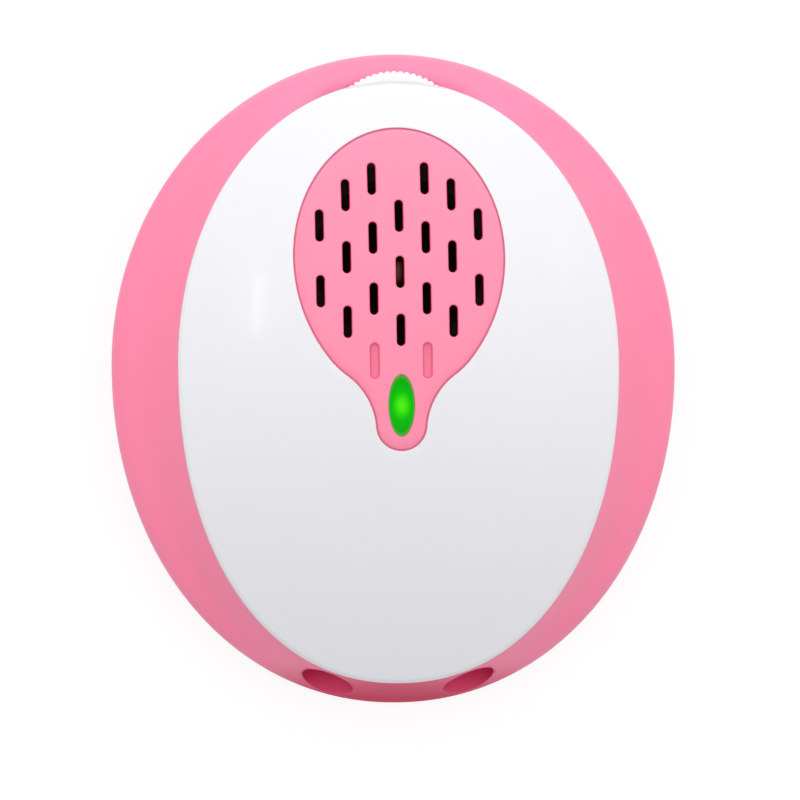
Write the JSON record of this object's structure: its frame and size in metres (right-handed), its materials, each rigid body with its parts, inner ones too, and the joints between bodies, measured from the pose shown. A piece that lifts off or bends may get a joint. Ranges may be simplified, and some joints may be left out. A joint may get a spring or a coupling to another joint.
{
  "type": "fetal doppler monitor",
  "caption": "Pocket fetal doppler monitor with a domed oval case, speaker grille, thumbwheel volume control, headphone sockets, ultrasound probe and battery bay.",
  "frame": {"origin": "centre of the flat back, on the surface the part lies on", "axes": "+Z out of the domed front, +Y towards the volume wheel, +X to the right as seen from the front"},
  "size_m": [0.094, 0.108, 0.0355],
  "materials": {
    "white_abs": "glossy moulded",
    "pink_abs": "semi-gloss moulded",
    "pink_abs_satin": "satin moulded",
    "green_lens": "tinted, glossy",
    "black_foam": "matt",
    "pressed_steel": "bright zinc",
    "black_paper": "matt",
    "copper_foil": "satin",
    "lead_insulation": "matt",
    "natural_nylon": "matt",
    "circuit_board": "solder mask",
    "black_epoxy": "matt moulded",
    "blue_sleeve": "glossy sleeve",
    "tan_ceramic": "matt",
    "clear_epoxy": "clear",
    "black_rubber": "matt",
    "ivory_elastomer": "satin",
    "crystal_electrode": "fired silver"
  },
  "bodies": {
    "case": {"front_cover": "white_abs", "mid_frame": "pink_abs", "rear_shell": "pink_abs", "speaker_grille": "pink_abs_satin", "led_lens": "green_lens", "speaker_gasket": "black_foam", "speaker_frame": "pressed_steel", "speaker_cone": "black_paper", "speaker_dust_cap": "copper_foil", "speaker_magnet": "pressed_steel", "speaker_leads": "lead_insulation", "potentiometer_body": "pressed_steel", "volume_board": "circuit_board", "volume_ribbon": "lead_insulation", "main_board": "circuit_board", "integrated_circuits": "black_epoxy", "capacitors": "blue_sleeve", "quartz_crystal": "pressed_steel", "surface_mount_parts": "tan_ceramic", "indicator_led": "clear_epoxy", "headphone_jack_left": "black_epoxy", "headphone_jack_right": "black_epoxy", "probe_housing": "white_abs", "probe_seal": "black_rubber", "probe_face": "ivory_elastomer", "transmit_crystal": "crystal_electrode", "receive_crystal": "crystal_electrode", "crystal_backing": "black_foam", "probe_leads": "lead_insulation", "battery_connector": "black_epoxy", "battery_leads": "lead_insulation", "battery_foam_pad": "black_foam", "case_screws": "pressed_steel", "board_screws": "pressed_steel"},
    "wheel": {"volume_wheel": "white_abs", "wheel_screw": "pressed_steel", "potentiometer_shaft": "natural_nylon"},
    "battery_door": {"battery_door": "pink_abs"}
  },
  "joints": [
    {"name": "volume_wheel_turn", "type": "hinge", "parent": "case", "child": "wheel", "pos_m": [0, 0.039, 0.0206], "axis": [0, 0, 1], "range_deg": [-70, 210]},
    {"name": "battery_door_hinge", "type": "hinge", "parent": "case", "child": "battery_door", "pos_m": [0, -0.0034, 0.00015], "axis": [-1, 0, 0], "range_deg": [0, 100]}
  ]
}
